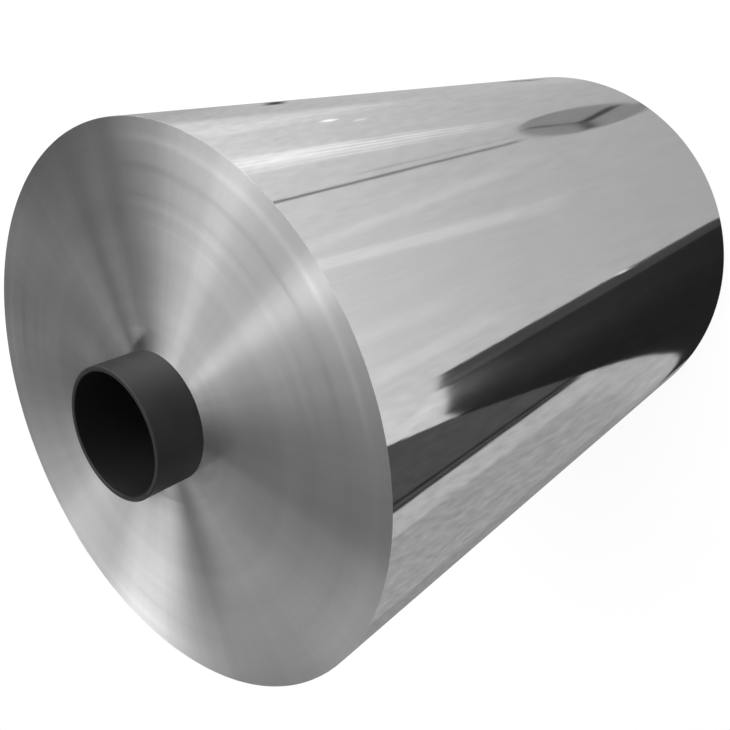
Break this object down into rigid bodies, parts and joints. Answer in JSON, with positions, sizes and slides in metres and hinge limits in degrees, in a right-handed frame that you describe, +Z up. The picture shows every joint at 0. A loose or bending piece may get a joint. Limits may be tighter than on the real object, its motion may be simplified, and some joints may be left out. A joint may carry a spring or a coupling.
{
  "type": "aluminium foil roll",
  "caption": "Large roll of bright aluminium foil wound on a dark steel core tube that stands out of both ends.",
  "frame": {"origin": "on the roll's axis, at the foot of the core tube's lower ring, which is the surface that the roll stands on", "axes": "+Z up along the roll's axis, from the standing end towards the free end; -Y towards the side that the picture shows; the free end of the foil lies on the far side, 110 degrees from +X towards +Y"},
  "size_m": [0.7005, 0.7, 1.13],
  "materials": {
    "foil": "bright rolled foil, nearly a mirror across the axis and drawn out into streaks along it; satin on the end faces, where the edges of the turns lie",
    "core": "dark steel tube, blackened and half matt, rubbed bright on its rims"
  },
  "bodies": {
    "root": {"foil_coil": "foil", "core_tube": "core"}
  },
  "joints": []
}
